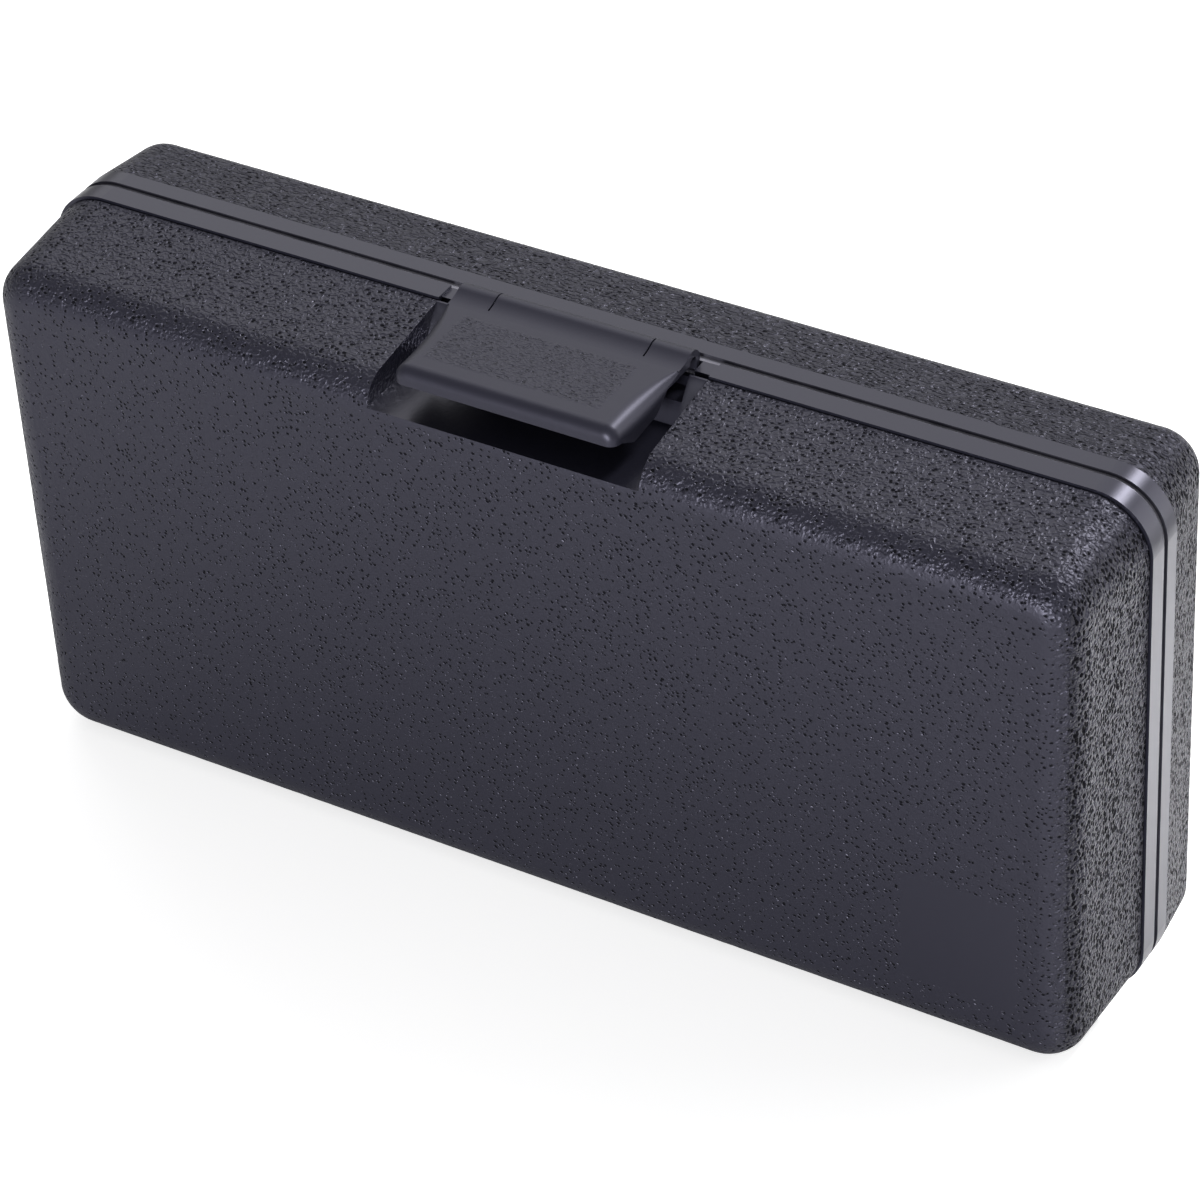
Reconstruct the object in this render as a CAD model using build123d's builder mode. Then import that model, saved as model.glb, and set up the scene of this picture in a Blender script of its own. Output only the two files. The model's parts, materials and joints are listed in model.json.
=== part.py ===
"""Small blow-moulded tool case, standing on its hinge side.

The deep base half faces the front (-Y) and carries the latch recess. The shallow lid half swings
backward about the hinge pins near the floor. The latch turns on a pin that the lid carries.
Millimetres, +X along the length, +Z up, origin at the middle of the bottom.
"""

import os
from math import cos, radians, sin, tan

from build123d import *

# Overall case, measured over the smooth bands at the parting line
case_length = 240.0
case_height = 117.0
base_depth = 31.3
lid_depth = 24.4
corner_radius = 11.8

# Smooth bands and the groove between them
base_band_width = 4.6
lid_band_width = 3.9
groove_width = 1.5
groove_depth = 0.7
band_step = 0.5
seam_width = 0.3
seam_depth = 0.5

# How far each skin draws in from its band to its end face
base_top_draft = 4.0
base_side_draft = 2.6
lid_top_draft = 2.5
lid_side_draft = 3.3
base_edge_radius = 7.0
lid_edge_radius = 6.0
base_end_corner_radius = 8.0
lid_end_corner_radius = 7.0

# Double walls
wall = 2.0
bottom_block = 9.5
bottom_block_depth = 11.0

# Tool pockets in the base, and their shallower echoes in the lid
pocket_margin = 9.0
pocket_bottom = 14.0
tray_height = 27.0
pocket_gap = 9.0
tool_pocket_length = 142.0
base_pocket_depth = 24.0
base_tray_depth = 19.0
lid_pocket_depth = 16.0
lid_tray_depth = 12.0
pocket_corner_radius = 6.0
pocket_draft = 3.0
pocket_floor_radius = 2.5
pocket_lip_radius = 1.2
pocket_head_room = 15.0

# Hinge at the bottom of the parting plane
hinge_height = 3.2
hinge_barrel_radius = 3.2
hinge_pin_radius = 1.0
hinge_pin_clearance = 0.05
hinge_turn_clearance = 0.4
hinge_knuckle_length = 10.0
hinge_knuckle_gap = 0.4
hinge_end_distance = 50.0
hinge_bevel_angle = 56.0
hinge_pin_inset = 0.5

# Latch recess in the top of the base
recess_half_width = 29.5
recess_depth = 8.9
recess_slope_bottom = 10.4
recess_slope_angle = 40.0
catch_strip_width = 3.4
catch_strip_drop = 0.6
catch_slot_width = 1.2
catch_slot_depth = 1.6
catch_gap_depth = 2.2

# Latch
latch_half_width = 25.2
latch_front_half_width = 24.1
latch_pivot_forward = 2.8
latch_pivot_rise = 0.5
latch_roll_radius = 2.6
latch_roll_end = 8.5
latch_roll_opening = 2.4
latch_wall = 1.4
latch_plate_back_rise = 1.4
latch_plate_front_rise = 1.0
latch_blend_angle = 25.0
latch_blend_reach = 5.25
latch_reach = 29.8
latch_lip_height = 3.7
latch_lip_foot = 2.2
latch_lip_radius = 2.3
latch_least_shoulder = 0.6
latch_skirt_start = 12.0
latch_skirt_start_height = 1.3
latch_skirt_back = 16.0
latch_skirt_height = 4.7
latch_skirt_deepest = 23.5
latch_skirt_deepest_height = 5.9
latch_slit_width = 0.35
latch_slit_reach = 6.8
latch_clearance = 0.3
latch_curl_angle = 60.0
latch_pin_radius = 0.75
latch_pin_clearance = 0.05
latch_pin_bury = 5.0
snap_rib_thickness = 1.0
snap_rib_bite = 1.1
snap_rib_inset = 1.0
lug_nose_radius = 1.6
lug_arm_thickness = 2.6
lug_web_thickness = 1.4
lug_root_depth = 6.0
lug_side_clearance = 0.4

# Share of the plate's length, from its back to its lip, and the shoulder radius there
latch_shoulders = [(0.0, 0.5), (0.15, 1.9), (0.42, 3.2), (0.75, 3.4), (1.0, 2.6)]

# Places worked out from the sizes above
parting = (base_depth - lid_depth) / 2
front_face = parting - base_depth
back_face = parting + lid_depth
half_length = case_length / 2
pivot_y = parting - latch_pivot_forward
pivot_z = case_height + latch_pivot_rise
hinge_hole_radius = hinge_pin_radius + hinge_pin_clearance
hinge_clear_radius = hinge_barrel_radius + hinge_turn_clearance
knuckle_step = hinge_knuckle_length + hinge_knuckle_gap
hinge_group_length = 3 * hinge_knuckle_length + 2 * hinge_knuckle_gap
middle_half_width = latch_half_width - latch_roll_end
lug_half_width = middle_half_width - lug_side_clearance
recess_floor_height = case_height - recess_depth
strip_front = parting - catch_strip_width
slope_top_y = strip_front - catch_slot_width
slope_bottom_y = parting - recess_slope_bottom
catch_height = pivot_z - latch_roll_radius - latch_clearance
gap_floor = catch_height - catch_gap_depth
arm_bottom = catch_height - lug_arm_thickness
lug_arm_reach = latch_pivot_forward + lug_nose_radius
roll_front = pivot_y - latch_roll_radius
plate_back_y = pivot_y - latch_blend_reach
plate_back_z = pivot_z + latch_plate_back_rise
plate_front_y = parting - latch_reach
plate_front_z = pivot_z + latch_plate_front_rise
plate_length = plate_back_y - plate_front_y
lip_bottom_z = plate_front_z - latch_lip_height
skirt_start_z = plate_front_z - latch_skirt_start_height
skirt_z = plate_front_z - latch_skirt_height
skirt_deepest_z = plate_front_z - latch_skirt_deepest_height
plate_depth_z = skirt_deepest_z - latch_lip_foot
roll_inner_radius = latch_roll_radius - latch_wall
blend_start = (
    pivot_y - latch_roll_radius * sin(radians(latch_blend_angle)),
    pivot_z + latch_roll_radius * cos(radians(latch_blend_angle)),
)
blend_tangent = (-cos(radians(latch_blend_angle)), -sin(radians(latch_blend_angle)))
curl_edge = (
    pivot_y + 2 * latch_roll_radius * cos(radians(latch_curl_angle)),
    pivot_z + 2 * latch_roll_radius * sin(radians(latch_curl_angle)),
)
knuckle_inner = middle_half_width + latch_slit_width
knuckle_outer = latch_half_width - latch_roll_opening
latch_pin_half_length = middle_half_width + latch_pin_bury
snap_rib_length = knuckle_outer - knuckle_inner - 2 * snap_rib_inset
snap_rib_middle = (knuckle_inner + knuckle_outer) / 2
snap_rib_height = pivot_z - catch_height + snap_rib_bite - latch_roll_radius / 2
slit_front = parting - latch_slit_reach
hinge_pin_length = hinge_group_length - 2 * hinge_pin_inset
notch_half_width = latch_half_width + 2 * latch_clearance
sky = case_height + 2 * latch_reach
hinge_group_centers = {
    "left": hinge_end_distance - half_length,
    "right": half_length - hinge_end_distance,
}

tray_top = pocket_bottom + tray_height
tool_pocket_bottom = tray_top + pocket_gap
tool_pocket_top = case_height - pocket_head_room
tool_pocket_left = -half_length + pocket_margin
tool_pocket_right = tool_pocket_left + tool_pocket_length
side_pocket_left = tool_pocket_right + pocket_gap
side_pocket_right = half_length - pocket_margin
pocket_boxes = [
    (tool_pocket_left, tool_pocket_right, tool_pocket_bottom, tool_pocket_top, "pocket"),
    (side_pocket_left, side_pocket_right, tool_pocket_bottom, tool_pocket_top, "pocket"),
    (-half_length + pocket_margin, half_length - pocket_margin, pocket_bottom, tray_top, "tray"),
]
base_depths = {"pocket": base_pocket_depth, "tray": base_tray_depth}
lid_depths = {"pocket": lid_pocket_depth, "tray": lid_tray_depth}


def upright(y):
    """Plane facing the front at a given depth, with X to the right and Z up."""
    return Plane.XZ.offset(-y)


def side_plane(x):
    """Plane facing the right end at a given X, with Y to the right and Z up."""
    return Plane.YZ.offset(x)


def case_outline(inset, top_inset, radius):
    """Outline of the case seen from the front, flat along the bottom."""
    height = case_height - top_inset
    with Locations((0, height / 2)):
        RectangleRounded(case_length - 2 * inset, height, radius)


def case_outline_cut(inset):
    """Takes the case's outline away from a sketch, drawn in by the same amount all round."""
    height = case_height - inset
    with Locations((0, height / 2)):
        RectangleRounded(case_length - 2 * inset, height, corner_radius - inset, mode=Mode.SUBTRACT)


def inner_outline(inset, top_inset, radius):
    """Outline of the hollow between the two walls."""
    height = case_height - top_inset - 2 * wall
    with Locations((0, wall + height / 2)):
        RectangleRounded(case_length - 2 * inset - 2 * wall, height, radius)


def pocket_sketch(box, grow):
    """Rounded rectangle of one pocket, grown outward by a wall where asked."""
    left, right, bottom, top, _ = box
    with Locations(((left + right) / 2, (bottom + top) / 2)):
        RectangleRounded(right - left + 2 * grow, top - bottom + 2 * grow, pocket_corner_radius + grow)


def hinge_circle(radius):
    """Circle about the lid's hinge axis."""
    with Locations((parting, hinge_height)):
        Circle(radius)


def pivot_circle(radius):
    """Circle about the latch's axis."""
    with Locations((pivot_y, pivot_z)):
        Circle(radius)


def plate_section(share, shoulder, inset):
    """Cross-section of the latch's plate, with round shoulders, drawn in by a wall where asked."""
    half_width = latch_half_width + (latch_front_half_width - latch_half_width) * share - inset
    top = plate_back_z + (plate_front_z - plate_back_z) * share - inset
    radius = max(shoulder - inset, latch_least_shoulder)
    with BuildLine(Plane.XY) as outline:
        Line((-half_width, top - radius), (-half_width, plate_depth_z))
        Line((-half_width, plate_depth_z), (half_width, plate_depth_z))
        Line((half_width, plate_depth_z), (half_width, top - radius))
        TangentArc((half_width, top - radius), (half_width - radius, top), tangent=(0, 1))
        Line((half_width - radius, top), (radius - half_width, top))
        TangentArc((-half_width, top - radius), (radius - half_width, top), tangent=(0, 1))
    make_face(outline.edges())


def knuckle(center, place, radius, extra):
    """Cylinder about the hinge axis at one of a group's three places."""
    length = hinge_knuckle_length + 2 * extra
    with BuildPart(mode=Mode.PRIVATE) as barrel:
        with BuildSketch(side_plane(center + place * knuckle_step - length / 2)):
            hinge_circle(radius)
        extrude(amount=length)
    return barrel.part


def bevel_cut(side):
    """Wedge cut away below the hinge axis, on the front (-1) or back (1) side."""
    reach = 2 * hinge_height * tan(radians(hinge_bevel_angle))
    with BuildPart(mode=Mode.PRIVATE) as wedge:
        with BuildSketch(side_plane(-half_length)):
            with BuildLine():
                Polyline(
                    (parting, hinge_height),
                    (parting + side * reach, -hinge_height),
                    (parting - side * wall, -hinge_height),
                    (parting - side * wall, hinge_height),
                    close=True,
                )
            make_face()
        extrude(amount=case_length)
    return wedge.part


def hinge_half(side, own_places, other_places):
    """Cut the bevel, clear the other half's knuckles and add this half's own, with their bores."""
    add(bevel_cut(side), mode=Mode.SUBTRACT)
    for center in hinge_group_centers.values():
        for place in other_places:
            add(knuckle(center, place, hinge_clear_radius, hinge_knuckle_gap), mode=Mode.SUBTRACT)
        for place in own_places:
            add(knuckle(center, place, hinge_barrel_radius, 0))
        for place in own_places:
            add(knuckle(center, place, hinge_hole_radius, hinge_knuckle_gap), mode=Mode.SUBTRACT)


# Hollow between the two walls of the base
with BuildPart() as base_hollow:
    with BuildSketch(upright(parting - wall)):
        inner_outline(band_step, band_step, corner_radius - wall)
    with BuildSketch(upright(front_face + wall)):
        inner_outline(base_side_draft, base_top_draft, base_end_corner_radius - wall)
    loft()
    fillet(base_hollow.faces().sort_by(Axis.Y)[0].edges(), base_edge_radius - wall)
    # Solid material stays around the hinge
    with BuildSketch(side_plane(-half_length)):
        with Locations((parting, 0)):
            Rectangle(bottom_block_depth, bottom_block, align=(Align.MAX, Align.MIN))
    extrude(amount=case_length, mode=Mode.SUBTRACT)
    # Solid material stays around the latch recess
    with BuildSketch(side_plane(-recess_half_width - wall)):
        with Locations((parting, recess_floor_height - wall)):
            Rectangle(base_depth, case_height, align=(Align.MAX, Align.MIN))
    extrude(amount=2 * (recess_half_width + wall), mode=Mode.SUBTRACT)
    for pocket in pocket_boxes:
        with BuildSketch(upright(parting)):
            pocket_sketch(pocket, wall)
        extrude(amount=base_depths[pocket[4]] + wall, mode=Mode.SUBTRACT)

# Base half: skin, band, pockets, latch recess and hinge knuckles
with BuildPart() as base:
    with BuildSketch(upright(parting - base_band_width)):
        case_outline(band_step, band_step, corner_radius)
    with BuildSketch(upright(front_face)):
        case_outline(base_side_draft, base_top_draft, base_end_corner_radius)
    loft()
    fillet(base.faces().sort_by(Axis.Y)[0].edges(), base_edge_radius)
    with BuildSketch(upright(parting)):
        case_outline(0, 0, corner_radius)
    extrude(amount=base_band_width)
    # Fine seam where the skin meets the band
    with BuildSketch(upright(parting - base_band_width)):
        case_outline(-wall, -wall, corner_radius + wall)
        case_outline_cut(band_step + seam_depth)
    extrude(amount=seam_width, mode=Mode.SUBTRACT)
    add(base_hollow.part, mode=Mode.SUBTRACT)
    for pocket in pocket_boxes:
        with BuildSketch(upright(parting)):
            pocket_sketch(pocket, 0)
        extrude(amount=base_depths[pocket[4]], taper=pocket_draft, mode=Mode.SUBTRACT)
        fillet(base.edges(Select.LAST).group_by(Axis.Y)[0], pocket_floor_radius)
    pocket_mouths = base.faces().filter_by(Plane.XZ).sort_by(Axis.Y)[-1].inner_wires()
    fillet(pocket_mouths.edges(), pocket_lip_radius)
    # Recess with a level floor and a back that curves down to it
    with BuildSketch(side_plane(-recess_half_width)):
        with BuildLine():
            Polyline(
                (slope_bottom_y, recess_floor_height),
                (front_face - wall, recess_floor_height),
                (front_face - wall, sky),
                (slope_top_y, sky),
                (slope_top_y, case_height),
            )
            TangentArc(
                (slope_top_y, case_height),
                (slope_bottom_y, recess_floor_height),
                tangent=(-cos(radians(recess_slope_angle)), -sin(radians(recess_slope_angle))),
            )
        make_face()
    extrude(amount=2 * recess_half_width, mode=Mode.SUBTRACT)
    # Catch strip and the slot in front of it
    with BuildSketch(side_plane(-recess_half_width)):
        with Locations((parting, case_height - catch_strip_drop)):
            Rectangle(catch_strip_width, catch_slot_depth, align=(Align.MAX, Align.MIN))
        with Locations((strip_front, case_height - catch_slot_depth)):
            Rectangle(catch_slot_width, 2 * catch_slot_depth, align=(Align.MAX, Align.MIN))
    extrude(amount=2 * recess_half_width, mode=Mode.SUBTRACT)
    # Room for the latch's roll over the strip, and for its ribs in front of the strip
    with BuildSketch(side_plane(-notch_half_width)):
        with Locations((parting, catch_height)):
            Rectangle(recess_slope_bottom, case_height, align=(Align.MAX, Align.MIN))
        with Locations((strip_front, gap_floor)):
            Rectangle(recess_slope_bottom, case_height, align=(Align.MAX, Align.MIN))
    extrude(amount=2 * notch_half_width, mode=Mode.SUBTRACT)
    # Room for the lid's lug
    with BuildSketch(side_plane(-middle_half_width)):
        with Locations((parting, arm_bottom - latch_clearance)):
            Rectangle(recess_slope_bottom, case_height, align=(Align.MAX, Align.MIN))
    extrude(amount=2 * middle_half_width, mode=Mode.SUBTRACT)
    hinge_half(-1, (-1, 1), (0,))

# Hollow between the two walls of the lid
with BuildPart() as lid_hollow:
    with BuildSketch(upright(parting + wall)):
        inner_outline(groove_depth, groove_depth, corner_radius - wall)
    with BuildSketch(upright(back_face - wall)):
        inner_outline(lid_side_draft, lid_top_draft, lid_end_corner_radius - wall)
    loft()
    fillet(lid_hollow.faces().sort_by(Axis.Y)[-1].edges(), lid_edge_radius - wall)
    # Solid material stays around the hinge
    with BuildSketch(side_plane(-half_length)):
        with Locations((parting, 0)):
            Rectangle(bottom_block_depth, bottom_block, align=(Align.MIN, Align.MIN))
    extrude(amount=case_length, mode=Mode.SUBTRACT)
    # Solid material stays behind the lug
    with BuildSketch(side_plane(-middle_half_width - wall)):
        with Locations((parting, arm_bottom - wall)):
            Rectangle(lug_root_depth, case_height, align=(Align.MIN, Align.MIN))
    extrude(amount=2 * (middle_half_width + wall), mode=Mode.SUBTRACT)
    for pocket in pocket_boxes:
        with BuildSketch(upright(parting)):
            pocket_sketch(pocket, wall)
        extrude(amount=-lid_depths[pocket[4]] - wall, mode=Mode.SUBTRACT)

# Lid half: rim, band, skin, pockets, the lug that carries the latch, and hinge knuckles
with BuildPart() as lid:
    with BuildSketch(upright(parting + groove_width + lid_band_width)):
        case_outline(0, 0, corner_radius)
    with BuildSketch(upright(back_face)):
        case_outline(lid_side_draft, lid_top_draft, lid_end_corner_radius)
    loft()
    fillet(lid.faces().sort_by(Axis.Y)[-1].edges(), lid_edge_radius)
    with BuildSketch(upright(parting + groove_width)):
        case_outline(0, 0, corner_radius)
    extrude(amount=-lid_band_width)
    with BuildSketch(upright(parting)):
        case_outline(groove_depth, groove_depth, corner_radius - groove_depth)
    extrude(amount=-groove_width)
    add(lid_hollow.part, mode=Mode.SUBTRACT)
    for pocket in pocket_boxes:
        with BuildSketch(upright(parting)):
            pocket_sketch(pocket, 0)
        extrude(amount=-lid_depths[pocket[4]], taper=pocket_draft, mode=Mode.SUBTRACT)
        fillet(lid.edges(Select.LAST).group_by(Axis.Y)[-1], pocket_floor_radius)
    pocket_mouths = lid.faces().filter_by(Plane.XZ).sort_by(Axis.Y)[0].inner_wires()
    fillet(pocket_mouths.edges(), pocket_lip_radius)
    hinge_half(1, (0,), (-1, 1))
    # Lug: an arm through the base's notch, turned up to the latch pin
    with BuildSketch(side_plane(-lug_half_width)):
        with Locations((parting + wall, arm_bottom)):
            Rectangle(lug_arm_reach + wall, lug_arm_thickness, align=(Align.MAX, Align.MIN))
        with Locations((parting - lug_arm_reach, arm_bottom)):
            Rectangle(lug_web_thickness, pivot_z - arm_bottom, align=(Align.MIN, Align.MIN))
        pivot_circle(lug_nose_radius)
    extrude(amount=2 * lug_half_width)
    with BuildSketch(side_plane(-lug_half_width)):
        pivot_circle(latch_pin_radius + latch_pin_clearance)
    extrude(amount=2 * lug_half_width, mode=Mode.SUBTRACT)

# Space under the latch's plate
with BuildPart() as latch_hollow:
    for share, shoulder in latch_shoulders:
        with BuildSketch(upright(plate_back_y - share * (plate_length - latch_wall))):
            plate_section(share, shoulder, latch_wall)
    loft()

# Latch: a sheet rolled over its pin, with shoulders that deepen toward a rounded lip
with BuildPart() as latch:
    for share, shoulder in latch_shoulders:
        with BuildSketch(upright(plate_back_y - share * plate_length)):
            plate_section(share, shoulder, 0)
    loft()
    fillet(latch.faces().sort_by(Axis.Y)[0].edges().sort_by(Axis.Z)[1:], latch_lip_radius)
    add(latch_hollow.part, mode=Mode.SUBTRACT)
    # Sheet that rises from the plate over the roll
    with BuildSketch(side_plane(-latch_half_width)):
        with BuildLine():
            Polyline((pivot_y, pivot_z), blend_start)
            TangentArc(blend_start, (plate_back_y, plate_back_z), tangent=blend_tangent)
            Polyline(
                (plate_back_y, plate_back_z),
                (plate_back_y, plate_back_z - latch_wall),
                (roll_front, pivot_z),
                (pivot_y, pivot_z),
            )
        make_face()
    extrude(amount=2 * latch_half_width)
    # Lower edge of the lip and the skirts
    with BuildSketch(side_plane(-latch_half_width)):
        with BuildLine():
            Polyline(
                (plate_front_y - wall, lip_bottom_z),
                (plate_front_y + latch_lip_foot, lip_bottom_z),
                (parting - latch_skirt_deepest, skirt_deepest_z),
                (parting - latch_skirt_back, skirt_z),
                (parting - latch_skirt_start, skirt_start_z),
                (roll_front, pivot_z),
                (roll_front, plate_depth_z - wall),
                (plate_front_y - wall, plate_depth_z - wall),
                close=True,
            )
        make_face()
    extrude(amount=2 * latch_half_width, mode=Mode.SUBTRACT)
    # Roll along the back edge
    with BuildSketch(side_plane(-latch_half_width)):
        pivot_circle(latch_roll_radius)
    extrude(amount=2 * latch_half_width)
    # Middle of the roll opened for the lid's lug, so that only a curl covers it
    with BuildSketch(side_plane(-middle_half_width)):
        pivot_circle(lug_nose_radius + latch_clearance)
        with BuildLine():
            Polyline(
                (pivot_y, pivot_z),
                curl_edge,
                (curl_edge[0] + latch_roll_radius, pivot_z),
                (curl_edge[0] + latch_roll_radius, catch_height - wall),
                (roll_front, catch_height - wall),
                (roll_front, plate_back_z - latch_wall),
                (pivot_y, plate_back_z - latch_wall),
                close=True,
            )
        make_face()
    extrude(amount=2 * middle_half_width, mode=Mode.SUBTRACT)
    for side in (-1, 1):
        # Open end of the roll, outside its knuckle
        with BuildSketch(side_plane(side * knuckle_outer)):
            pivot_circle(roll_inner_radius)
            with Locations((pivot_y, pivot_z)):
                Rectangle(2 * roll_inner_radius, 2 * latch_roll_radius, align=(Align.CENTER, Align.MAX))
                Rectangle(latch_roll_radius, 2 * latch_roll_radius, align=(Align.MAX, Align.MAX))
        extrude(amount=side * 2 * latch_roll_opening, mode=Mode.SUBTRACT)
        # Slit that lets the middle flex apart from the knuckle
        with BuildSketch(side_plane(side * middle_half_width)):
            with Locations((slit_front, pivot_z)):
                Rectangle(latch_reach, 2 * latch_reach, align=(Align.MIN, Align.CENTER))
        extrude(amount=side * latch_slit_width, mode=Mode.SUBTRACT)
    # Bore for the latch pin, blind at both ends
    with BuildSketch(side_plane(-latch_pin_half_length - latch_clearance)):
        pivot_circle(latch_pin_radius + latch_pin_clearance)
    extrude(amount=2 * (latch_pin_half_length + latch_clearance), mode=Mode.SUBTRACT)
    # Snap ribs that hook in front of the catch strip
    for side in (-1, 1):
        with BuildSketch(side_plane(side * snap_rib_middle)):
            with Locations((strip_front - latch_clearance, catch_height - snap_rib_bite)):
                Rectangle(snap_rib_thickness, snap_rib_height, align=(Align.MAX, Align.MIN))
        extrude(amount=snap_rib_length / 2, both=True)

# Latch pin, fixed in the lid's lug, with its ends buried in the latch's knuckles
with BuildPart() as latch_pin:
    with BuildSketch(side_plane(-latch_pin_half_length)):
        pivot_circle(latch_pin_radius)
    extrude(amount=2 * latch_pin_half_length)

os.makedirs("parts", exist_ok=True)
for part_name, piece in (("base", base), ("lid", lid), ("latch", latch), ("latch_pin", latch_pin)):
    piece.part.label = part_name
    export_step(piece.part, f"parts/{part_name}.step")

# Hinge pins, one through each group of knuckles
for side_name, center in hinge_group_centers.items():
    with BuildPart() as hinge_pin:
        with BuildSketch(side_plane(center - hinge_pin_length / 2)):
            hinge_circle(hinge_pin_radius)
        extrude(amount=hinge_pin_length)
    hinge_pin.part.label = f"hinge_pin_{side_name}"
    export_step(hinge_pin.part, f"parts/hinge_pin_{side_name}.step")
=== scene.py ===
"""Finishes, studio and camera for a small blow-moulded tool case.

Sizes are real millimetres in the case's own frame, turned into metres where Blender needs them.
"""

from __future__ import annotations

import json
import logging
from dataclasses import dataclass
from enum import Enum
from math import cos, radians, sin
from typing import Any

import bmesh
import bpy
from mathutils import Matrix, Vector

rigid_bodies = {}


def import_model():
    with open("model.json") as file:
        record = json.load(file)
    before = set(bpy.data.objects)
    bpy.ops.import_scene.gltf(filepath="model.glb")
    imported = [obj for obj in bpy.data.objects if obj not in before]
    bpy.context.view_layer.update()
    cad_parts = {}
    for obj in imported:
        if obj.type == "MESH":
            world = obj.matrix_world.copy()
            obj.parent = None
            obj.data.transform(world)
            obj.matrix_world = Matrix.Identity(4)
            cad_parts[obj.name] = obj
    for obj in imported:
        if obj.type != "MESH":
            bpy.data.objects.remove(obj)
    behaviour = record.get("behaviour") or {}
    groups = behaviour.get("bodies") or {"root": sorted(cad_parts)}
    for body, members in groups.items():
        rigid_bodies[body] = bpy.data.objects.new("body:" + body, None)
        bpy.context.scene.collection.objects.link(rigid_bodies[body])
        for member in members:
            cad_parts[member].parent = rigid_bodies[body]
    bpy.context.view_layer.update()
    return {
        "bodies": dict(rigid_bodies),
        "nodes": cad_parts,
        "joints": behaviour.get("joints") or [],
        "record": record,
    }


LOG = logging.getLogger("tool_case")
MM = 0.001
IMAGE_SIDE = 1200


class Face(Enum):
    """The side of the case that a half's flat face looks to, as a sign along Y."""

    FRONT = -1.0
    BACK = 1.0


def linear(hex_colour: str) -> tuple[float, float, float, float]:
    """Turns an sRGB hex colour into linear red, green, blue and an alpha of one.

    Args:
        hex_colour: The colour as "#rrggbb".

    Returns:
        The linear colour for a shader socket.
    """
    levels = [int(hex_colour[place : place + 2], 16) / 255 for place in (1, 3, 5)]
    straight = [v / 12.92 if v <= 0.04045 else ((v + 0.055) / 1.055) ** 2.4 for v in levels]
    return (*straight, 1.0)


class Graph:
    """A node tree under construction."""

    def __init__(self, tree: bpy.types.NodeTree) -> None:
        """Clears the tree so that it can be wired from nothing."""
        self.tree = tree
        tree.nodes.clear()

    def add(self, kind: str, inputs: dict | None = None, give: int | str = 0, **settings: Any) -> Any:
        """Adds one node with its settings and links.

        Args:
            kind: The node's type name without its "ShaderNode" prefix.
            inputs: Input name or number to a constant, or to the socket that feeds it.
            give: The output to hand back.
            **settings: The node's own properties.

        Returns:
            The chosen output socket, or None on a node without outputs.
        """
        node = self.tree.nodes.new("ShaderNode" + kind)
        for name, value in settings.items():
            setattr(node, name, value)
        for key, value in (inputs or {}).items():
            if isinstance(value, bpy.types.NodeSocket):
                self.tree.links.new(value, node.inputs[key])
            else:
                node.inputs[key].default_value = value
        return node.outputs[give] if len(node.outputs) else None


@dataclass(frozen=True)
class ZoneBox:
    """A soft-edged box in a node's own coordinates, in millimetres. None leaves a side open."""

    low: tuple[float | None, float | None, float | None]
    high: tuple[float | None, float | None, float | None]
    softness: float = 0.05

    def mask(self, graph: Graph, axes: Any) -> Any:
        """Wires a mask that is one inside the box.

        Args:
            graph: The tree to add to.
            axes: The Separate XYZ outputs of the position in millimetres.

        Returns:
            The mask's socket.
        """
        mask = None
        for axis in range(3):
            for edge, inward in ((self.low[axis], 1.0), (self.high[axis], -1.0)):
                if edge is None:
                    continue
                side = graph.add(
                    "MapRange",
                    {
                        "Value": axes[axis],
                        "From Min": edge - inward * self.softness,
                        "From Max": edge + inward * self.softness,
                    },
                    interpolation_type="SMOOTHSTEP",
                )
                mask = side if mask is None else graph.add("Math", {0: mask, 1: side}, operation="MULTIPLY")
        return mask


def new_material(name: str) -> tuple[bpy.types.Material, Graph]:
    """Makes an empty node material.

    Args:
        name: The material's name.

    Returns:
        The material and its empty graph.
    """
    material = bpy.data.materials.new(name)
    material.use_nodes = True
    return material, Graph(material.node_tree)


def dress(piece: bpy.types.Object, material: bpy.types.Material) -> None:
    """Gives every slot of a piece one material.

    Args:
        piece: The object to dress.
        material: The material that it gets.
    """
    for slot in piece.material_slots:
        slot.material = material
    if not piece.material_slots:
        piece.data.materials.append(material)


@dataclass(frozen=True)
class PitGrain:
    """Small steep pits scattered over a moulded skin, in millimetres."""

    pitch: float
    radius: float
    stretch: tuple[float, float, float] = (1.0, 1.0, 1.0)
    edge: float = 0.55
    least_size: float = 0.25
    most_size: float = 1.2

    def mask(self, graph: Graph, place: Any) -> Any:
        """Wires a mask that is one inside the pits, each with a size of its own.

        Args:
            graph: The tree to add to.
            place: The position in millimetres.

        Returns:
            The mask's socket.
        """
        squeezed = graph.add("Mapping", {"Vector": place, "Scale": [1 / part for part in self.stretch]})
        near = graph.add("TexVoronoi", {"Vector": squeezed, "Scale": 1 / self.pitch}, give="Distance")
        draw = graph.add("SeparateColor", {0: near.node.outputs["Color"]})
        size = graph.add(
            "MapRange",
            {
                "Value": draw,
                "To Min": self.radius / self.pitch * self.least_size,
                "To Max": self.radius / self.pitch * self.most_size,
            },
        )
        share = graph.add("Math", {0: near, 1: size}, operation="DIVIDE")
        return graph.add(
            "MapRange",
            {"Value": share, "From Min": 1.0, "From Max": self.edge},
            interpolation_type="SMOOTHSTEP",
        )


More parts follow.
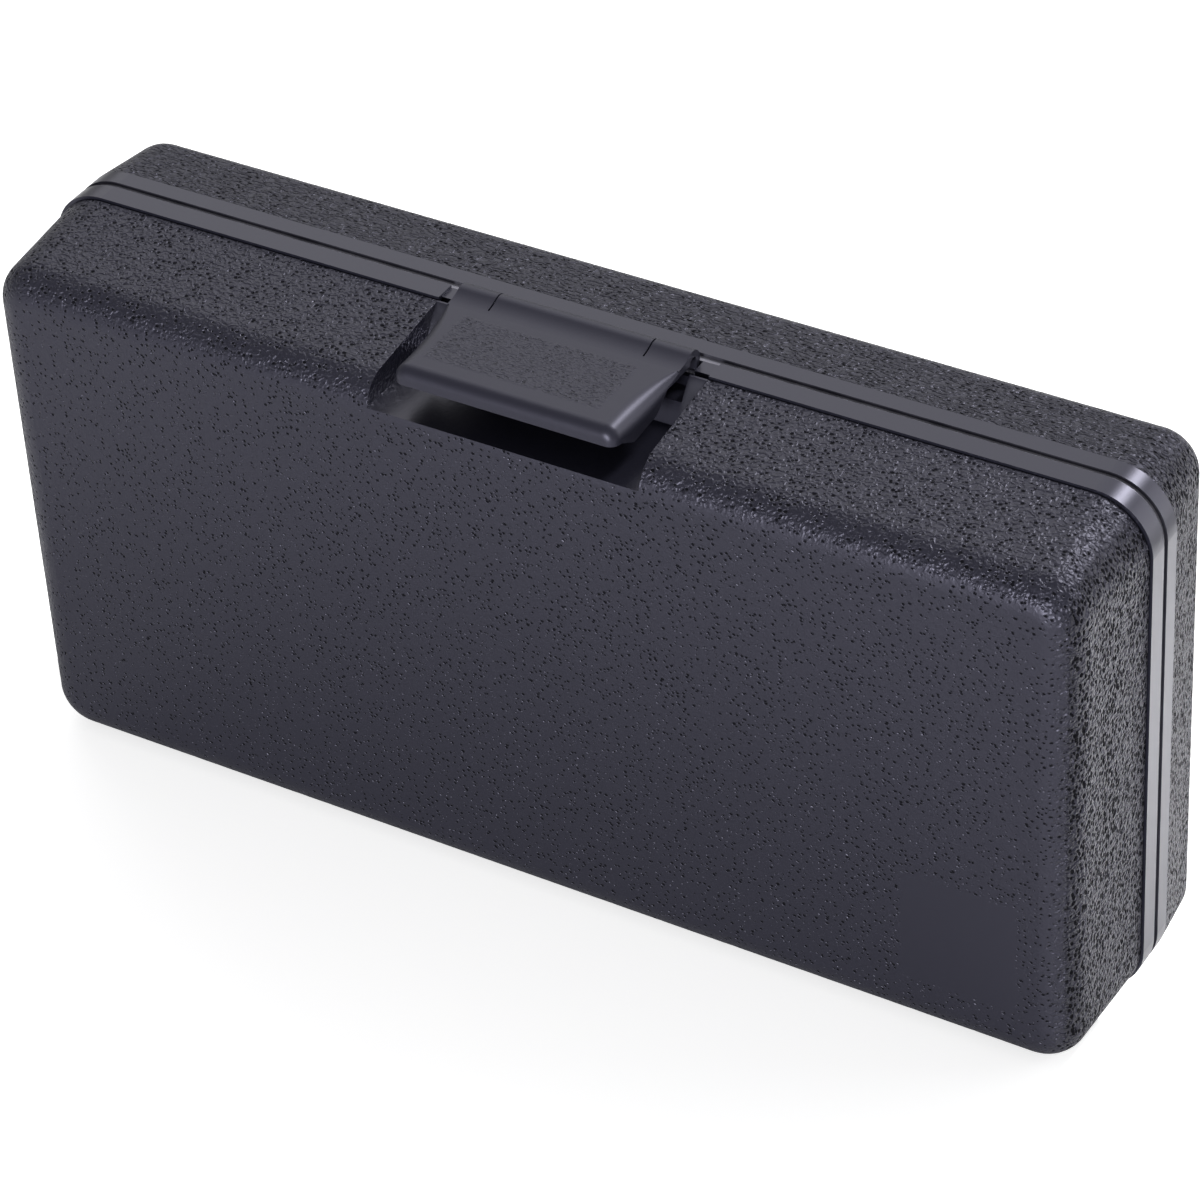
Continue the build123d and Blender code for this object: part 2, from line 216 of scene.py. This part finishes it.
@dataclass(frozen=True)
class WrinkleGrain:
    """Fine branching wrinkles between the pits, in millimetres."""

    pitch: float
    stretch: tuple[float, float, float] = (1.0, 1.0, 1.0)
    detail: float = 1.0
    fold_width: float = 0.16

    def height(self, graph: Graph, place: Any) -> Any:
        """Wires a relief from zero in the hollows to one on the crests.

        Args:
            graph: The tree to add to.
            place: The position in millimetres.

        Returns:
            The relief's socket.
        """
        squeezed = graph.add("Mapping", {"Vector": place, "Scale": [1 / part for part in self.stretch]})
        noise = graph.add(
            "TexNoise", {"Vector": squeezed, "Scale": 1 / self.pitch, "Detail": self.detail}, give="Fac"
        )
        # The middle level of the noise is a crest that branches
        fold = graph.add("Math", {0: noise, 1: -0.5}, operation="ADD")
        crest = graph.add("Math", {0: fold}, operation="ABSOLUTE")
        return graph.add("MapRange", {"Value": crest, "From Min": self.fold_width, "From Max": 0.0})


@dataclass(frozen=True)
class MouldedPolyethylene:
    """Blow-moulded black high-density polyethylene, grained by the mould.

    The drawn sides keep the mould's full leather grain as pits and wrinkles. The flat faces shrank
    away from the mould while they cooled, so only scattered pits are left there. The eye sees a
    dark satin with a blue cast, glinting beside the pits and nearly smooth on the bands.
    """

    name: str
    smooth_zones: tuple[ZoneBox, ...]
    pocket_zone: ZoneBox
    flat_face: Face
    side_pits: PitGrain
    side_wrinkle: WrinkleGrain
    end_pits: PitGrain = PitGrain(1.0, 0.62, (1.0, 0.75, 1.35), 0.4, 0.75)
    flat_pits: PitGrain = PitGrain(0.9, 0.36, (1.3, 1.0, 1.0), 0.25, 0.6)
    bare_patch: ZoneBox | None = None
    pale_zones: tuple[ZoneBox, ...] = ()
    colour: str = "#1a1a23"
    cavity_colour: str = "#0a0a0e"
    pale_zone_colour: str = "#7d7c85"
    specular_tint: str = "#e6e4ff"
    ior: float = 1.54
    skin_specular: float = 0.5
    cavity_specular: float = 0.1
    dull_share: float = 0.9
    hollow_span: tuple[float, float] = (0.35, 0.8)
    skin_roughness: float = 0.42
    band_roughness: float = 0.3
    pit_roughness: float = 0.2
    cavity_roughness: float = 0.8
    pit_depth: float = 0.3
    flat_pit_depth: float = 0.24
    end_pit_depth: float = 0.45
    wrinkle_height: float = 0.14
    flat_wrinkle_height: float = 0.025
    end_wrinkle_height: float = 0.9
    warp_pitch: float = 1.3
    warp_reach: float = 0.5
    swell_pitch: float = 26.0
    swell_height: float = 0.05
    blotch_pitch: float = 7.0
    blotch_span: tuple[float, float] = (0.25, 0.6)
    least_blotch: float = 0.45
    flat_facing: tuple[float, float] = (0.8, 0.985)
    end_facing: tuple[float, float] = (0.55, 0.8)

    def build(self) -> bpy.types.Material:
        """Makes the material.

        Returns:
            The finished material.
        """
        material, graph = new_material(self.name)
        coordinates = graph.add("TexCoord", give="Object")
        millimetres = graph.add("VectorMath", {0: coordinates, "Scale": 1 / MM}, operation="SCALE")
        axes = graph.add("SeparateXYZ", {0: millimetres}).node.outputs
        facing = graph.add("SeparateXYZ", {0: graph.add("TexCoord", give="Normal")}).node.outputs

        skin = self.outside(graph, axes, (*self.smooth_zones, self.pocket_zone))
        grained = skin
        if self.bare_patch:
            bare = self.outside(graph, axes, (self.bare_patch,))
            grained = graph.add("Math", {0: skin, 1: bare}, operation="MULTIPLY")
        flat_start, flat_stop = (self.flat_face.value * share for share in self.flat_facing)
        flat = self.ramp(graph, facing[1], flat_start, flat_stop)
        end = self.ramp(graph, graph.add("Math", {0: facing[0]}, operation="ABSOLUTE"), *self.end_facing)

        # Pits and wrinkles on coordinates that wander a little
        drift = graph.add("TexNoise", {"Vector": millimetres, "Scale": 1 / self.warp_pitch}, give="Color")
        reach = (self.warp_reach,) * 3
        place = graph.add("VectorMath", {0: drift, 1: reach, 2: millimetres}, operation="MULTIPLY_ADD")
        blotch = graph.add("TexNoise", {"Vector": millimetres, "Scale": 1 / self.blotch_pitch}, give="Fac")
        blotchy = self.ramp(graph, blotch, *self.blotch_span, self.least_blotch)
        side_pit, end_pit, flat_pit = (
            grain.mask(graph, place) for grain in (self.side_pits, self.end_pits, self.flat_pits)
        )
        side_pit = graph.add("Math", {0: side_pit, 1: blotchy}, operation="MULTIPLY")
        pit = graph.add("Mix", {0: end, 2: side_pit, 3: end_pit}, data_type="FLOAT")
        pit = graph.add("Mix", {0: flat, 2: pit, 3: flat_pit}, data_type="FLOAT")
        pit = graph.add("Math", {0: pit, 1: grained}, operation="MULTIPLY")
        depth = self.ramp(graph, end, 0.0, 1.0, -self.pit_depth, -self.end_pit_depth)
        depth = graph.add("Mix", {0: flat, 2: depth, 3: -self.flat_pit_depth}, data_type="FLOAT")
        rise = self.ramp(graph, end, 0.0, 1.0, self.wrinkle_height, self.end_wrinkle_height)
        rise = graph.add("Mix", {0: flat, 2: rise, 3: self.flat_wrinkle_height}, data_type="FLOAT")
        rise = graph.add("Math", {0: rise, 1: grained}, operation="MULTIPLY")
        wrinkle = self.side_wrinkle.height(graph, place)
        swell = graph.add("TexNoise", {"Vector": millimetres, "Scale": 1 / self.swell_pitch}, give="Fac")
        height = graph.add("Math", {0: swell, 1: self.swell_height}, operation="MULTIPLY")
        height = graph.add("Math", {0: wrinkle, 1: rise, 2: height}, operation="MULTIPLY_ADD")
        height = graph.add("Math", {0: pit, 1: depth, 2: height}, operation="MULTIPLY_ADD")
        bump = graph.add("Bump", {"Height": height, "Distance": MM, "Strength": 1.0})

        # Little light reaches the bottom of a pit
        hollow = self.ramp(graph, pit, *self.hollow_span)
        colour = graph.add(
            "Mix", {0: hollow, 6: linear(self.colour), 7: linear(self.cavity_colour)}, 2, data_type="RGBA"
        )
        roughness = self.ramp(graph, skin, 0.0, 1.0, self.band_roughness, self.skin_roughness)
        roughness = graph.add("Mix", {0: pit, 2: roughness, 3: self.pit_roughness}, data_type="FLOAT")
        roughness = graph.add("Mix", {0: hollow, 2: roughness, 3: self.cavity_roughness}, data_type="FLOAT")
        # Pale zones are painted a paler colour, patchy and kept out of the pockets; in the lid's groove
        # this paler colour is painted light
        patchy_outside_pockets = graph.add(
            "Math", {0: blotchy, 1: self.outside(graph, axes, (self.pocket_zone,))}, operation="MULTIPLY"
        )
        for zone in self.pale_zones:
            paled = graph.add("Math", {0: zone.mask(graph, axes), 1: patchy_outside_pockets}, operation="MULTIPLY")
            colour = graph.add(
                "Mix", {0: paled, 6: colour, 7: linear(self.pale_zone_colour)}, 2, data_type="RGBA"
            )
        shine = self.ramp(graph, hollow, 0.0, self.dull_share, self.skin_specular, self.cavity_specular)
        shader = graph.add(
            "BsdfPrincipled",
            {
                "Base Color": colour,
                "Roughness": roughness,
                "IOR": self.ior,
                "Specular IOR Level": shine,
                "Specular Tint": linear(self.specular_tint),
                "Normal": bump,
            },
        )
        graph.add("OutputMaterial", {"Surface": shader})
        return material

    @staticmethod
    def outside(graph: Graph, axes: Any, zones: tuple[ZoneBox, ...]) -> Any:
        """Wires a mask that is one outside every zone.

        Args:
            graph: The tree to add to.
            axes: The Separate XYZ outputs of the position in millimetres.
            zones: The boxes to stay out of.

        Returns:
            The mask's socket.
        """
        kept = 1.0
        for zone in zones:
            clear = graph.add("Math", {0: 1.0, 1: zone.mask(graph, axes)}, operation="SUBTRACT")
            kept = graph.add("Math", {0: kept, 1: clear}, operation="MULTIPLY")
        return kept

    @staticmethod
    def ramp(
        graph: Graph, value: Any, start: float, stop: float, low: float = 0.0, high: float = 1.0
    ) -> Any:
        """Wires a smooth ramp between two values.

        Args:
            graph: The tree to add to.
            value: The socket that drives the ramp.
            start: The value at which the ramp begins.
            stop: The value at which the ramp ends.
            low: The result at the start.
            high: The result at the stop.

        Returns:
            The ramp's socket.
        """
        return graph.add(
            "MapRange",
            {"Value": value, "From Min": start, "From Max": stop, "To Min": low, "To Max": high},
            interpolation_type="SMOOTHSTEP",
        )


@dataclass(frozen=True)
class SatinPolyethylene:
    """Injection-moulded black polyethylene, satin, with a leather-grained grip field.

    The eye sees soft, wide highlights along the rolls, and a duller wrinkled field in the middle.
    """

    name: str
    grip_field: ZoneBox
    grip_pits: PitGrain = PitGrain(0.9, 0.36, (1.5, 1.0, 1.0), 0.3, 0.4)
    grip_wrinkle: WrinkleGrain = WrinkleGrain(0.9, (1.6, 1.0, 1.0))
    colour: str = "#1a1a23"
    cavity_colour: str = "#0d0d12"
    specular_tint: str = "#e6e4ff"
    ior: float = 1.54
    roughness: float = 0.44
    pit_depth: float = 0.1
    wrinkle_height: float = 0.08
    ripple_pitch: float = 6.0
    ripple_height: float = 0.04
    scratch_pitch: float = 0.35
    scratch_height: float = 0.006

    def build(self) -> bpy.types.Material:
        """Makes the material.

        Returns:
            The finished material.
        """
        material, graph = new_material(self.name)
        coordinates = graph.add("TexCoord", give="Object")
        millimetres = graph.add("VectorMath", {0: coordinates, "Scale": 1 / MM}, operation="SCALE")
        axes = graph.add("SeparateXYZ", {0: millimetres}).node.outputs
        field = self.grip_field.mask(graph, axes)
        pit = self.grip_pits.mask(graph, millimetres)
        pit = graph.add("Math", {0: pit, 1: field}, operation="MULTIPLY")
        rise = graph.add("Math", {0: field, 1: self.wrinkle_height}, operation="MULTIPLY")
        wrinkle = self.grip_wrinkle.height(graph, millimetres)
        ripple = graph.add(
            "TexNoise", {"Vector": millimetres, "Scale": 1 / self.ripple_pitch, "Detail": 1.0}, give="Fac"
        )
        grit = graph.add("TexNoise", {"Vector": millimetres, "Scale": 1 / self.scratch_pitch}, give="Fac")
        height = graph.add("Math", {0: ripple, 1: self.ripple_height}, operation="MULTIPLY")
        height = graph.add("Math", {0: grit, 1: self.scratch_height, 2: height}, operation="MULTIPLY_ADD")
        height = graph.add("Math", {0: wrinkle, 1: rise, 2: height}, operation="MULTIPLY_ADD")
        height = graph.add("Math", {0: pit, 1: -self.pit_depth, 2: height}, operation="MULTIPLY_ADD")
        bump = graph.add("Bump", {"Height": height, "Distance": MM, "Strength": 1.0})
        # Painted shade: the pits are painted darker, as little light reaches their bottoms
        colour = graph.add(
            "Mix", {0: pit, 6: linear(self.colour), 7: linear(self.cavity_colour)}, 2, data_type="RGBA"
        )
        shader = graph.add(
            "BsdfPrincipled",
            {
                "Base Color": colour,
                "Roughness": self.roughness,
                "IOR": self.ior,
                "Specular Tint": linear(self.specular_tint),
                "Normal": bump,
            },
        )
        graph.add("OutputMaterial", {"Surface": shader})
        return material


@dataclass(frozen=True)
class DrawnSteel:
    """Bright drawn steel wire, whose fine scratches run along its length.

    The eye sees one long thin highlight, broken up by fine lines.
    """

    name: str
    colour: str = "#a9adb2"
    least_roughness: float = 0.22
    most_roughness: float = 0.42
    scratch_pitch: float = 0.08
    scratch_length: float = 12.0
    scratch_height: float = 0.004

    def build(self) -> bpy.types.Material:
        """Makes the material.

        Returns:
            The finished material.
        """
        material, graph = new_material(self.name)
        coordinates = graph.add("TexCoord", give="Object")
        spread = (1 / self.scratch_length, 1 / self.scratch_pitch, 1 / self.scratch_pitch)
        drawn = graph.add("Mapping", {"Vector": coordinates, "Scale": [value / MM for value in spread]})
        scratch = graph.add("TexNoise", {"Vector": drawn, "Scale": 1.0, "Detail": 3.0}, give="Fac")
        bump = graph.add("Bump", {"Height": scratch, "Distance": self.scratch_height * MM, "Strength": 1.0})
        wear = graph.add(
            "MapRange",
            {"Value": scratch, "To Min": self.least_roughness, "To Max": self.most_roughness},
        )
        shader = graph.add(
            "BsdfPrincipled",
            {"Base Color": linear(self.colour), "Metallic": 1.0, "Roughness": wear, "Normal": bump},
        )
        graph.add("OutputMaterial", {"Surface": shader})
        return material


@dataclass
class CaseShells:
    """The two blow-moulded halves, dressed as the frame holds them."""

    base_band_front: float = -1.15
    seam_width: float = 0.3
    groove_front: float = 3.6
    groove_back: float = 4.93
    lid_band_back: float = 8.85
    pocket_half_length: float = 112.25
    pocket_bottom: float = 12.75
    pocket_top: float = 103.25
    base_pocket_floor: float = -22.0
    lid_pocket_floor: float = 21.0
    recess_half_width: float = 29.53
    recess_floor: float = 108.06
    pale_end_inner_half_width: float = 26.0
    pale_end_front: float = -6.0
    pale_end_back: float = -1.6
    pale_end_bottom: float = 110.0
    pale_end_top: float = 116.2
    pale_end_softness: float = 0.8
    patch_left: float = 82.0
    patch_right: float = 106.5
    patch_back: float = -20.0
    patch_bottom: float = 12.0
    patch_top: float = 38.0
    patch_softness: float = 0.6

    def dress(self, frame: dict) -> None:
        """Gives the base and the lid their moulded finishes.

        Args:
            frame: What the frame's loader hands back.
        """
        seam_front = self.base_band_front - self.seam_width
        # Both ends of the recess are painted a paler grey
        recess_ends = (
            (-self.recess_half_width, -self.pale_end_inner_half_width),
            (self.pale_end_inner_half_width, self.recess_half_width),
        )
        pale_recess_ends = tuple(
            ZoneBox(
                (left, self.pale_end_front, self.pale_end_bottom),
                (right, self.pale_end_back, self.pale_end_top),
                self.pale_end_softness,
            )
            for left, right in recess_ends
        )
        base = MouldedPolyethylene(
            name="blow_moulded_polyethylene_base",
            smooth_zones=(
                ZoneBox((None, seam_front, None), (None, None, None)),
                ZoneBox(
                    (-self.recess_half_width, None, self.recess_floor), (self.recess_half_width, None, None)
                ),
            ),
            pocket_zone=ZoneBox(
                (-self.pocket_half_length, self.base_pocket_floor, self.pocket_bottom),
                (self.pocket_half_length, None, self.pocket_top),
            ),
            flat_face=Face.FRONT,
            side_pits=PitGrain(0.95, 0.46, (1.2, 1.0, 1.0), 0.3, 0.5),
            side_wrinkle=WrinkleGrain(1.35),
            bare_patch=ZoneBox(
                (self.patch_left, None, self.patch_bottom),
                (self.patch_right, self.patch_back, self.patch_top),
                self.patch_softness,
            ),
            pale_zones=pale_recess_ends,
            pale_zone_colour="#3c3c44",
        )
        # Painted light: the floor of the groove is painted paler, standing in for the light it catches, so
        # that it reads mid-dark and not black
        lid = MouldedPolyethylene(
            name="blow_moulded_polyethylene_lid",
            smooth_zones=(ZoneBox((None, None, None), (None, self.lid_band_back, None)),),
            pocket_zone=ZoneBox(
                (-self.pocket_half_length, None, self.pocket_bottom),
                (self.pocket_half_length, self.lid_pocket_floor, self.pocket_top),
            ),
            flat_face=Face.BACK,
            pale_zones=(ZoneBox((None, self.groove_front, None), (None, self.groove_back, None)),),
            side_pits=PitGrain(0.95, 0.42, (1.5, 0.9, 1.0), 0.35, 0.4),
            side_wrinkle=WrinkleGrain(1.3, (1.7, 1.0, 1.0)),
            wrinkle_height=0.36,
        )
        for node, finish in (("base", base), ("lid", lid)):
            dress(frame["nodes"][node], finish.build())
            LOG.info("%s dressed", node)


@dataclass
class LatchGroup:
    """The snap latch and the pin that it turns on."""

    grip_left: float = -20.2
    grip_right: float = 17.7
    grip_front: float = -21.0
    grip_back: float = -6.8
    grip_bottom: float = 118.0
    grip_softness: float = 0.5

    def dress(self, frame: dict) -> None:
        """Gives the latch its satin finish and the pin its drawn steel.

        Args:
            frame: What the frame's loader hands back.
        """
        grip = ZoneBox(
            (self.grip_left, self.grip_front, self.grip_bottom),
            (self.grip_right, self.grip_back, None),
            self.grip_softness,
        )
        latch = SatinPolyethylene(name="injection_moulded_polyethylene_latch", grip_field=grip)
        for node, finish in (("latch", latch), ("latch_pin", DrawnSteel(name="drawn_steel_latch_pin"))):
            dress(frame["nodes"][node], finish.build())
            LOG.info("%s dressed", node)


@dataclass
class HingePins:
    """The two wire pins of the lid's hinge."""

    def dress(self, frame: dict) -> None:
        """Gives both pins one drawn steel finish.

        Args:
            frame: What the frame's loader hands back.
        """
        steel = DrawnSteel(name="drawn_steel_hinge_wire").build()
        for node in ("hinge_pin_left", "hinge_pin_right"):
            dress(frame["nodes"][node], steel)
            LOG.info("%s dressed", node)


@dataclass(frozen=True)
class SoftBox:
    """A square studio lamp that faces the case from a given direction."""

    name: str
    toward: tuple[float, float, float]
    distance: float
    side: float
    radiance: float

    def build(self, aim: Vector) -> None:
        """Makes the lamp, turned towards a point.

        Args:
            aim: The point that the lamp faces, in metres.
        """
        lamp = bpy.data.lights.new(self.name, "AREA")
        lamp.shape = "SQUARE"
        lamp.size = self.side
        lamp.energy = 4 * self.radiance * self.side**2
        holder = bpy.data.objects.new(self.name, lamp)
        away = Vector(self.toward).normalized()
        turned = away.to_track_quat("Z", "Y").to_matrix().to_4x4()
        holder.matrix_world = Matrix.Translation(aim + away * self.distance) @ turned
        bpy.context.scene.collection.objects.link(holder)


@dataclass(frozen=True)
class FloorSpot:
    """A narrow lamp that brightens one pool of the pale floor."""

    name: str
    place: tuple[float, float, float]
    pool: tuple[float, float, float]
    cone: float
    softness: float
    energy: float
    radius: float = 0.05

    def build(self) -> None:
        """Makes the lamp, turned towards its pool."""
        lamp = bpy.data.lights.new(self.name, "SPOT")
        lamp.energy = self.energy
        lamp.spot_size = radians(self.cone)
        lamp.spot_blend = self.softness
        lamp.shadow_soft_size = self.radius
        holder = bpy.data.objects.new(self.name, lamp)
        place = Vector(self.place)
        turned = (place - Vector(self.pool)).to_track_quat("Z", "Y").to_matrix().to_4x4()
        holder.matrix_world = Matrix.Translation(place) @ turned
        bpy.context.scene.collection.objects.link(holder)


@dataclass
class Studio:
    """A pale floor, soft lamps and the portrait camera."""

    aim: tuple[float, float, float] = (0.0018, 0.0, 0.0545)
    azimuth: float = 32.825
    elevation: float = 37.431
    roll: float = -3.654
    distance: float = 0.9323
    focal_pixels: float = 4776.3
    sensor_width: float = 36.0
    floor_side: float = 8.0
    step_place: float = -0.010
    step_floor: float = -0.060
    floor_colour: str = "#f2f2f2"
    floor_camera_glow: float = 0.6
    world_level: float = 0.34

    def build(self) -> None:
        """Builds the floor, the world, the lamps and the camera."""
        self.build_floor()
        self.build_world()
        # Name, direction from the case, distance and side in metres, radiance
        boxes = (
            SoftBox("overhead_softbox", (-0.43, 0.6, 0.66), 1.6, 1.4, 0.9),
            SoftBox("right_back_softbox", (0.74, 0.64, 0.22), 1.2, 0.8, 1.8),
            SoftBox("front_softbox", (0.12, -0.98, 0.12), 1.4, 0.3, 47.0),
            SoftBox("right_top_softbox", (0.3, 0.6, 0.74), 1.5, 0.35, 31.0),
        )
        for box in boxes:
            box.build(Vector(self.aim))
        FloorSpot(
            name="floor_spot",
            place=(0.55, 0.45, 0.9),
            pool=(0.23, 0.145, -0.06),
            cone=12.0,
            softness=0.6,
            energy=110.0,
        ).build()
        self.build_camera()
        LOG.info("studio built")

    def build_floor(self) -> None:
        """Makes the pale floor, white to the camera, with a step down where the open lid hangs."""
        half = self.floor_side / 2
        edge, low = self.step_place, self.step_floor
        profile = ((-half, 0.0), (edge, 0.0), (edge, low), (half, low))
        surface = bmesh.new()
        rows = [[surface.verts.new((side * half, y, z)) for side in (-1.0, 1.0)] for y, z in profile]
        for near, far in zip(rows, rows[1:]):
            surface.faces.new((near[0], near[1], far[1], far[0]))
        mesh = bpy.data.meshes.new("studio_floor")
        surface.to_mesh(mesh)
        surface.free()
        floor = bpy.data.objects.new("studio_floor", mesh)
        bpy.context.scene.collection.objects.link(floor)
        material, graph = new_material("matte_studio_paper")
        paper = graph.add("BsdfDiffuse", {"Color": linear(self.floor_colour)})
        camera_ray = graph.add("LightPath", give="Is Camera Ray")
        glow = graph.add("Math", {0: camera_ray, 1: self.floor_camera_glow}, operation="MULTIPLY")
        light = graph.add("Emission", {"Strength": glow})
        both = graph.add("AddShader", {0: paper, 1: light})
        graph.add("OutputMaterial", {"Surface": both})
        dress(floor, material)

    def build_world(self) -> None:
        """Makes an even soft world that the camera sees as white."""
        world = bpy.data.worlds.new("studio_world")
        bpy.context.scene.world = world
        world.use_nodes = True
        graph = Graph(world.node_tree)
        camera_ray = graph.add("LightPath", give="Is Camera Ray")
        strength = graph.add("MapRange", {"Value": camera_ray, "To Min": self.world_level, "To Max": 1.0})
        light = graph.add("Background", {"Color": linear("#ffffff"), "Strength": strength})
        graph.add("OutputWorld", {"Surface": light})

    def build_camera(self) -> None:
        """Makes the camera at the photograph's viewing angle."""
        turn, rise = radians(self.azimuth), radians(self.elevation)
        toward = Vector((sin(turn) * cos(rise), -cos(turn) * cos(rise), sin(rise)))
        right = (-toward).cross(Vector((0.0, 0.0, 1.0))).normalized()
        up = right.cross(-toward)
        roll = radians(self.roll)
        rolled_right = cos(roll) * right + sin(roll) * up
        rolled_up = cos(roll) * up - sin(roll) * right
        turned = Matrix((rolled_right, rolled_up, toward)).transposed().to_4x4()
        camera = bpy.data.cameras.new("portrait")
        camera.sensor_width = self.sensor_width
        camera.lens = self.focal_pixels / IMAGE_SIDE * self.sensor_width
        holder = bpy.data.objects.new("portrait", camera)
        holder.matrix_world = Matrix.Translation(Vector(self.aim) + toward * self.distance) @ turned
        bpy.context.scene.collection.objects.link(holder)
        bpy.context.scene.camera = holder


def main() -> None:
    """Loads the frame, dresses every piece and stages the case."""
    logging.basicConfig(level=logging.INFO)
    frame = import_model()
    CaseShells().dress(frame)
    LatchGroup().dress(frame)
    HingePins().dress(frame)
    Studio().build()
    bpy.context.scene.view_settings.view_transform = "Standard"


if __name__ == "__main__":
    main()
